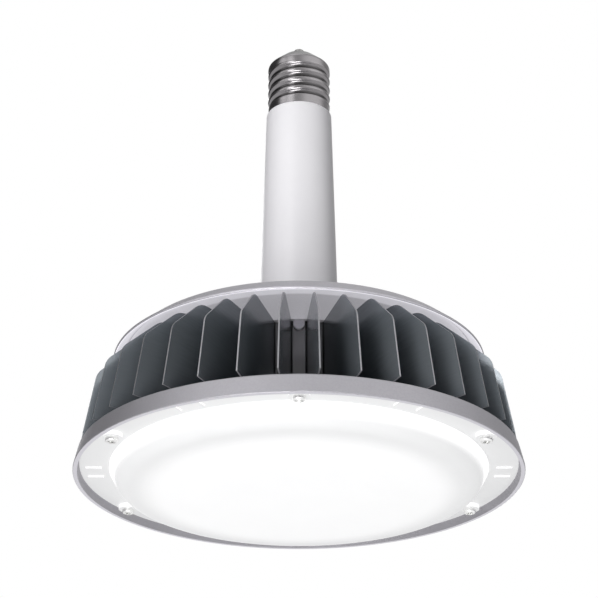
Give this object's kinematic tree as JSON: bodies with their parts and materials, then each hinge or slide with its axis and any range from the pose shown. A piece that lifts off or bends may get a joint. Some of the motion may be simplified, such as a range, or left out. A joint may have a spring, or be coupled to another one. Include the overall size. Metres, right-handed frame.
{
  "type": "high bay light",
  "caption": "Round high bay light with radial cooling fins, a wide glowing lens facing down and a long white neck ending in a screw cap.",
  "frame": {"origin": "lowest point of the lens face, on the light's axis", "axes": "+Z along the axis from the lens up to the screw cap; -Y is the front, where one lens screw sits; +X is to the right"},
  "size_m": [0.2616, 0.2616, 0.3026],
  "materials": {
    "body_paint": "satin lilac-grey paint",
    "cover_paint": "satin lilac-grey paint",
    "dark_fins": "dark anodised, glossy, with bright turned edges",
    "lens_milky": "milky diffuser pan in a clear flange, lit",
    "neck_white": "smooth white moulding",
    "nickel": "nickel plate on rolled brass",
    "insulator": "dark glossy insulation",
    "contact_metal": "plated contact",
    "screw_steel": "zinc-plated screws",
    "gasket_rubber": "soft white sealing ring",
    "board_white": "white coated metal-core board",
    "emitter": "yellow phosphor emitters",
    "tray_plastic": "natural insulating plastic",
    "circuit_board": "green laminate",
    "ferrite": "dark ferrite with taped winding",
    "can_metal": "sleeved aluminium can",
    "copper_winding": "varnished copper winding",
    "fuse_glass": "clear glass",
    "lead_red": "insulated wire",
    "lead_white": "insulated wire"
  },
  "bodies": {
    "root": {"cap_shell": "nickel", "cap_insulator": "insulator", "cap_contact": "contact_metal", "neck_housing": "neck_white", "neck_screws": "screw_steel", "top_cover": "cover_paint", "cover_screws": "screw_steel", "heatsink": "dark_fins", "base_body": "body_paint", "base_screws": "screw_steel", "led_board": "board_white", "led_chips": "emitter", "board_screws": "screw_steel", "lens_gasket": "gasket_rubber", "lens_cover": "lens_milky", "lens_screws": "screw_steel", "driver_tray": "tray_plastic", "driver_board": "circuit_board", "driver_screws": "screw_steel", "driver_transformer": "ferrite", "driver_capacitors": "can_metal", "driver_choke": "copper_winding", "driver_fuse": "fuse_glass", "lead_live": "lead_red", "lead_neutral": "lead_white", "output_leads": "lead_red"}
  },
  "joints": []
}
